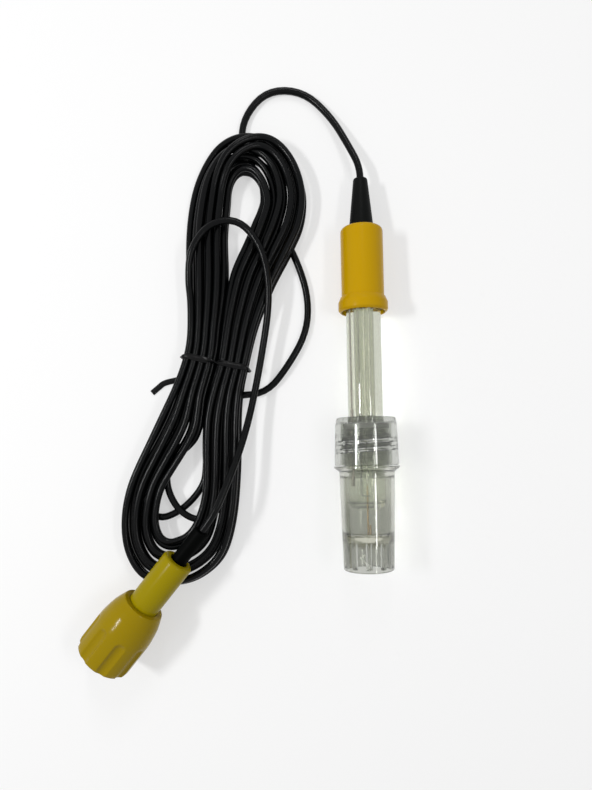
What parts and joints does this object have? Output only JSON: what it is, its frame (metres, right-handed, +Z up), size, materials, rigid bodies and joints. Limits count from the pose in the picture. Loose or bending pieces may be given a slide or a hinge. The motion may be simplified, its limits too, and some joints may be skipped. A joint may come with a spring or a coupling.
{
  "type": "redox electrode",
  "caption": "Redox electrode with a clear glass shaft, yellow cap, screw-on storage bottle over its tip, tied hank of thin black lead and yellow bayonet plug",
  "frame": {"origin": "the middle of the foot of the box round the electrode and its bottle, without the lead, the tie and the plug: Z = 0 is the table that everything lies on", "axes": "+Y runs along the electrode towards its lead, +X is to the right in the picture with the lead at the top, and +Z is up from the table. The electrode's own axis drops 2.7 degrees towards +Y, because it rests on the flange of its bottle and on the smaller collar of its cap."},
  "size_m": [0.1112, 0.2071, 0.0225],
  "materials": {
    "clear_glass": "polished clear glass",
    "ceramic": "porous white ceramic",
    "platinum": "drawn platinum, tinted brown by the solution",
    "silver_wire": "silver with a dark chloride coat",
    "tinned_lead": "tinned copper",
    "yellow_cap": "glossy golden yellow moulding",
    "potting": "cast epoxy",
    "sealant": "cured sealant",
    "black_boot": "matte black",
    "cable_jacket": "satin black",
    "tie_plastic": "black coated wire strip",
    "nickel": "bright nickel plate",
    "white_insulator": "white fluoropolymer",
    "gold_pin": "gold plate",
    "red_silicone": "silicone",
    "spring_steel": "plain spring steel",
    "yellow_plug": "satin greenish yellow moulding",
    "black_sleeve": "satin black",
    "clear_bottle": "clear moulded polystyrene",
    "clear_silicone": "translucent silicone"
  },
  "bodies": {
    "electrode": {"glass_body": "clear_glass", "ceramic_junction": "ceramic", "sensing_wire": "platinum", "reference_wire": "silver_wire", "stem_lead_wire": "tinned_lead", "cap": "yellow_cap", "potting_plug": "potting", "tube_seal": "sealant", "strain_relief": "black_boot", "cable_boot_end": "cable_jacket", "cable_lead": "cable_jacket", "cable_side_loop": "cable_jacket", "cable_hank": "cable_jacket", "cable_tail": "cable_jacket", "cable_plug_end": "cable_jacket", "twist_tie": "tie_plastic", "plug_body": "nickel", "plug_insulator": "white_insulator", "centre_pin": "gold_pin", "plug_gasket": "red_silicone", "wave_washer": "spring_steel", "plug_neck": "yellow_plug", "crimp_ferrule": "nickel", "relief_sleeve": "black_sleeve"},
    "thrust_washer": {"thrust_washer": "spring_steel"},
    "coupling": {"coupling_ring": "nickel", "retaining_ring": "spring_steel", "coupling_cover": "yellow_plug"},
    "bottle_cap": {"bottle_cap": "clear_bottle"},
    "bottle_seal": {"bottle_seal": "clear_silicone"},
    "vial": {"vial": "clear_bottle"}
  },
  "joints": [
    {"name": "bottle_slide", "type": "slide", "parent": "electrode", "child": "bottle_cap", "axis": [0, -0.9989, 0.0467], "range_m": [0, 0.06]},
    {"name": "thread_advance", "type": "slide", "parent": "bottle_cap", "child": "bottle_seal", "axis": [0, -0.9989, 0.0467], "range_m": [0, 0.00473]},
    {"name": "vial_turn", "type": "hinge", "parent": "bottle_seal", "child": "vial", "pos_m": [0, -0.03246, 0.01124], "axis": [0, -0.9989, 0.0467], "range_deg": [0, 630]},
    {"name": "coupling_push", "type": "slide", "parent": "electrode", "child": "thrust_washer", "axis": [-0.6299, -0.7696, -0.1045], "range_m": [0, 0.0008], "stiffness_N_per_m": 3000, "deforming": ["wave_washer"]},
    {"name": "coupling_turn", "type": "hinge", "parent": "thrust_washer", "child": "coupling", "pos_m": [-0.086, -0.0893, 0.01096], "axis": [0.6299, 0.7696, 0.1045], "continuous": true}
  ],
  "couplings": [
    {"joint": "vial_turn", "follows": "thread_advance", "rad_per_m": 2327.1}
  ]
}
